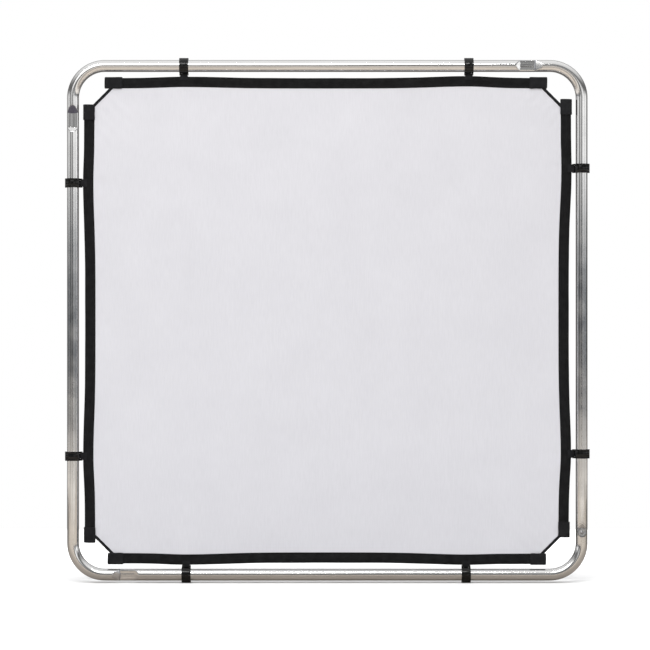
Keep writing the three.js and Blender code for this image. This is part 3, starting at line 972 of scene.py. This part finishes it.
def hook(index, end):
    """Moulded hook: a J over the tube, with two grip grooves, on two side arms that carry the pin."""
    side = SIDES[index]
    node = f"{side}_clip_{end}"
    a = mid_along(index, node)
    body = prism(node + "_moulding", hook_outline(), CLIP_WIDTH, a, PLASTIC)
    knuckle = prism("knuckle", disc(KNUCKLE_RADIUS, 32), CLIP_WIDTH, a, PLASTIC)
    combine(body, knuckle, "UNION")
    room = prism("room", disc(WINDOW_RADIUS, 40), WINDOW_WIDTH, a, PLASTIC)
    combine(body, room, "DIFFERENCE")
    near, far = -0.12 * math.pi, -0.62 * math.pi
    groove_outline = arc(0, HOOK_OUTER + 0.6 * MM, near, far, 24)
    groove_outline += arc(0, HOOK_OUTER - GROOVE_DEPTH, far, near, 24)
    for place in (a - GROOVE_OFFSET, a + GROOVE_OFFSET):
        groove = prism("groove", groove_outline, GROOVE_WIDTH, place, PLASTIC)
        combine(body, groove, "DIFFERENCE")
    round_edges(body, EDGE_ROUND, 42)
    pin = prism("pin", disc(PIN_RADIUS, 28), WINDOW_WIDTH + 2 * MM, a, PLASTIC)
    combine(body, pin, "UNION")
    finish_shade(body, 40)
    return set_down(body, index, node + "_hook", "clip_plastic", node)


def tab_width(w):
    """The webbing is spread over the hem and folded narrow where it passes between the hook's arms."""
    share = smooth_step((w - PIN_OUT + KNUCKLE_RADIUS) / (-0.6 * MM))
    return TAB_WIDTH + (TAB_SPREAD - TAB_WIDTH) * share


def tab(index, end):
    """Webbing looped round the clip's pin and sewn to both faces of the hem."""
    side = SIDES[index]
    node = f"{side}_tab_{end}"
    a = mid_along(index, node)
    middle = PIN_RADIUS + GAP + TAB_THICKNESS / 2
    hem_edge = CLOTH_HALF + HEM_WIDTH + HEM_PULL - HALF
    leg_end = hem_edge - TAB_OVERLAP
    wrap = 0.6 * math.pi
    leg = np.linspace(leg_end, hem_edge - 1.2 * MM, 9)
    path = [(w, TAB_LEG) for w in leg]
    path += arc(PIN_OUT, middle, wrap, -wrap, 22)
    path += [(w, -TAB_LEG) for w in leg[::-1]]
    points = np.array(path)
    tangents = np.gradient(points, axis=0)
    tangents /= np.linalg.norm(tangents, axis=1)[:, None]
    normals = np.stack([tangents[:, 1], -tangents[:, 0]], axis=1)
    rings = []
    across = 17
    for i, (point, normal) in enumerate(zip(points, normals)):
        swell = 1.0 if 0 < i < len(points) - 1 else 0.5
        ring = []
        for side_sign in (1, -1):
            for j in range(across):
                t = j / (across - 1) if side_sign > 0 else 1 - j / (across - 1)
                rib = RIB_HEIGHT * math.cos(2 * math.pi * t * 7)
                edge_round = math.sqrt(max(0.0, 1 - (2 * t - 1) ** 10))
                offset = side_sign * (TAB_THICKNESS / 2 - RIB_HEIGHT + rib) * edge_round * swell
                w, y = point + normal * offset
                ring.append((a + tab_width(w) * (t - 0.5), y, -HALF - w))
        rings.append(ring)
    obj = new_object(node + "_loop", *ring_surface(rings), WEBBING, 60)
    set_down(obj, index, "cover", "webbing", node)
    rows = []
    for face in (-1, 1):
        for w in (leg_end + 1.5 * MM, leg_end + 4.5 * MM):
            depth = face * (TAB_LEG + TAB_THICKNESS / 2)
            line = [(a + x * MM, depth, -HALF - w) for x in np.linspace(-4.2, 4.2, 5)]
            rows.append((line, face))
    return stitches(node + "_bartacks", rows, index, 2.1 * MM)


# ---- build it all ----
def dress(node, material):
    """Gives a CAD node that is kept as it is its material."""
    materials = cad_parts[node].data.materials
    materials.clear()
    materials.append(material)


for i, side_name in enumerate(SIDES):
    tube(i)
    insert(i)
    if i < 3:
        cord_bridge(i)
    hem(i)
    hem_stitches(i)
    rod(i)
    binding(i)
    for end_name in PATCH_ENDS[side_name]:
        patch(i, end_name)
    for end_name in CLIP_ENDS[side_name]:
        hook(i, end_name)
        tab(i, end_name)
    dress(side_name + "_cord", CORD)
rivet()
dress("cord_stop", DIE_CAST)
sheet = cloth()

# ---- floor, surroundings, lights and camera ----
FLOOR_WIDE, FLOOR_FRONT, FLOOR_BACK = 3.0, -1.6, 1.3


def floor():
    """White floor, lit from within towards its far edges like a sweep, so that only the frame's own shadow
    shows. The polished tubes reflect it warmer in front, with a painted shadow darkening it close in front
    of the frame, and dark behind."""
    material, tree, shader = nodes_of("pale_floor")
    place = object_place(tree)
    pale = ramp(tree, noise(tree, place, 3, 3), [(0.2, grey(0.92)), (0.8, grey(0.95))])
    parts = add(tree, "ShaderNodeSeparateXYZ", Vector=place)
    depth = mapped(tree, parts.outputs["Y"], FLOOR_FRONT, FLOOR_BACK)
    share = [(y - FLOOR_FRONT) / (FLOOR_BACK - FLOOR_FRONT) for y in (-0.5, -0.12, 0.1, 0.3, 0.6)]
    # painted shadow: what the tubes reflect grows darker close in front of the frame
    reflected = ramp(tree, depth, [
        (share[0], (0.52, 0.465, 0.405)), (share[1], (0.36, 0.32, 0.28)), (share[3], (0.16, 0.15, 0.14))])
    glow = ramp(tree, depth, [
        (share[0], grey(0.5)), (share[1], grey(0.0)), (share[2], grey(0.0)), (share[4], grey(0.6))])
    path = add(tree, "ShaderNodeLightPath")
    fill(tree, shader, Base_Color=blended(tree, path.outputs["Is Glossy Ray"], pale, reflected),
         Emission_Color=blended(tree, path.outputs["Is Camera Ray"], (0, 0, 0, 1), glow),
         Emission_Strength=1, Roughness=0.9, Specular_IOR_Level=0)
    corners = ((-FLOOR_WIDE, FLOOR_FRONT), (FLOOR_WIDE, FLOOR_FRONT), (FLOOR_WIDE, FLOOR_BACK),
               (-FLOOR_WIDE, FLOOR_BACK))
    obj = new_object("floor", [(x, y, cad_low.z) for x, y in corners], [(0, 1, 2, 3)], material)
    return obj


def angle_share(tree, source, low, high):
    """An angle in radians mapped from low..high degrees to 0..1."""
    return mapped(tree, source, math.radians(low), math.radians(high))


def by_angle(tree, source, low, high, stops):
    """A colour ramp whose places are degrees."""
    shares = [((degrees - low) / (high - low), colour) for degrees, colour in stops]
    return ramp(tree, angle_share(tree, source, low, high), shares)


def surroundings():
    """A white studio behind the frame, flagged off to the sides. In front of it, seen only in reflections,
    a dim room at eye level with pale strips to each side, a warm floor below and light above."""
    world = bpy.data.worlds.new("studio")
    bpy.context.scene.world = world
    world.use_nodes = True
    tree = world.node_tree
    parts = add(tree, "ShaderNodeSeparateXYZ", Vector=add(tree, "ShaderNodeTexCoord").outputs["Generated"])
    elevation = arithmetic(tree, "ARCSINE", parts.outputs["Z"])
    azimuth = arithmetic(tree, "ARCTAN2", parts.outputs["X"],
                         arithmetic(tree, "MULTIPLY", parts.outputs["Y"], -1.0))
    strips = by_angle(tree, azimuth, -180, 180, [
        (-125, grey(1.0)), (-104, grey(0.5)), (-92, grey(0.5)), (-84, grey(1.1)), (-68, grey(1.0)),
        (-58, grey(0.16)), (-44, grey(0.3)), (-30, grey(0.75)), (-14, grey(0.45)), (2, grey(0.22)),
        (9, grey(0.6)), (16, grey(1.2)), (40, grey(1.1)), (47, grey(0.35)), (57, grey(1.2)),
        (84, grey(1.2)), (90, grey(0.28)), (106, grey(0.28)), (125, grey(1.0))])
    low_strips = blended(tree, 0.22, (0.98, 0.91, 0.83, 1), strips)
    dim = blended(tree, 1.0, strips, (0.13, 0.14, 0.155, 1), "MULTIPLY")
    lower = by_angle(tree, elevation, -8, 8, [(-3.4, grey(0)), (-2.5, grey(1))])
    upper = by_angle(tree, elevation, -8, 8, [(1.6, grey(0)), (3.6, grey(1))])
    near = blended(tree, upper, blended(tree, lower, low_strips, dim), strips)
    far = by_angle(tree, elevation, -90, 90, [
        (-90, (0.46, 0.41, 0.37)), (-40, (0.6, 0.55, 0.5)), (-16, (0.42, 0.38, 0.35)),
        (-9, (0.8, 0.75, 0.68)), (6, grey(0.12)), (24, grey(0.16)), (38, grey(0.7)), (60, grey(0.95)),
        (90, grey(0.9))])
    level = angle_share(tree, arithmetic(tree, "ABSOLUTE", elevation), 7, 16)
    front = blended(tree, level, near, far)
    rear = by_angle(tree, elevation, -90, 90, [
        (-90, (0.46, 0.41, 0.37)), (-20, grey(0.9)), (0, grey(1.0)), (35, grey(1.0)), (90, grey(0.85))])
    path = add(tree, "ShaderNodeLightPath")
    flags = by_angle(tree, elevation, -90, 90, [
        (-90, (0.15, 0.145, 0.14)), (16, (0.16, 0.15, 0.145)), (34, grey(0.4)), (60, grey(0.55))])
    flagged = blended(tree, path.outputs["Is Glossy Ray"], rear, flags)
    everything = blended(tree, mapped(tree, parts.outputs["Y"], 0.42, 0.66), front, flagged)
    seen = blended(tree, path.outputs["Is Camera Ray"], everything, (1, 1, 1, 1))
    fill(tree, tree.nodes["Background"], Color=seen, Strength=1.0)


def lamp(name, place, target, size, power, reflected):
    """Rectangular area light aimed at target. Only a reflected one shows in the polished tubes."""
    light = bpy.data.lights.new(name, "AREA")
    light.shape = "RECTANGLE"
    light.size, light.size_y = size
    light.energy = power
    obj = bpy.data.objects.new(name, light)
    obj.location = place
    obj.rotation_euler = (Vector(target) - Vector(place)).to_track_quat("-Z", "Y").to_euler()
    obj.visible_glossy = reflected
    bpy.context.scene.collection.objects.link(obj)
    return obj


def camera():
    """Straight on, a little left of and below the frame's centre, far enough back for a flat view."""
    view_width = 1.374
    distance = 5.0
    data = bpy.data.cameras.new("camera")
    data.sensor_width = 36
    data.lens = data.sensor_width * distance / view_width
    obj = bpy.data.objects.new("camera", data)
    obj.location = (-4.9 * MM, -distance, HALF - 9.9 * MM)
    obj.rotation_euler = (math.pi / 2, 0, 0)
    bpy.context.scene.collection.objects.link(obj)
    bpy.context.scene.camera = obj


floor()
surroundings()
camera()
lamp("softbox", (-0.95, -2.3, 2.1), (-0.75, 0, 0.55), (2.1, 1.2), 10, True)
lamp("strip", (-0.5, -2.0, 2.5), (-0.1, 0, 0.8), (2.2, 0.16), 20, True)
lamp("overhead", (0, -0.1, 3.0), (0, -0.1, 0), (3.2, 1.3), 24, False)
lamp("front_fill", (0, -1.7, 2.7), (0, 0, 0.7), (2.4, 1.0), 26, False)
bpy.context.scene.view_settings.view_transform = "Standard"
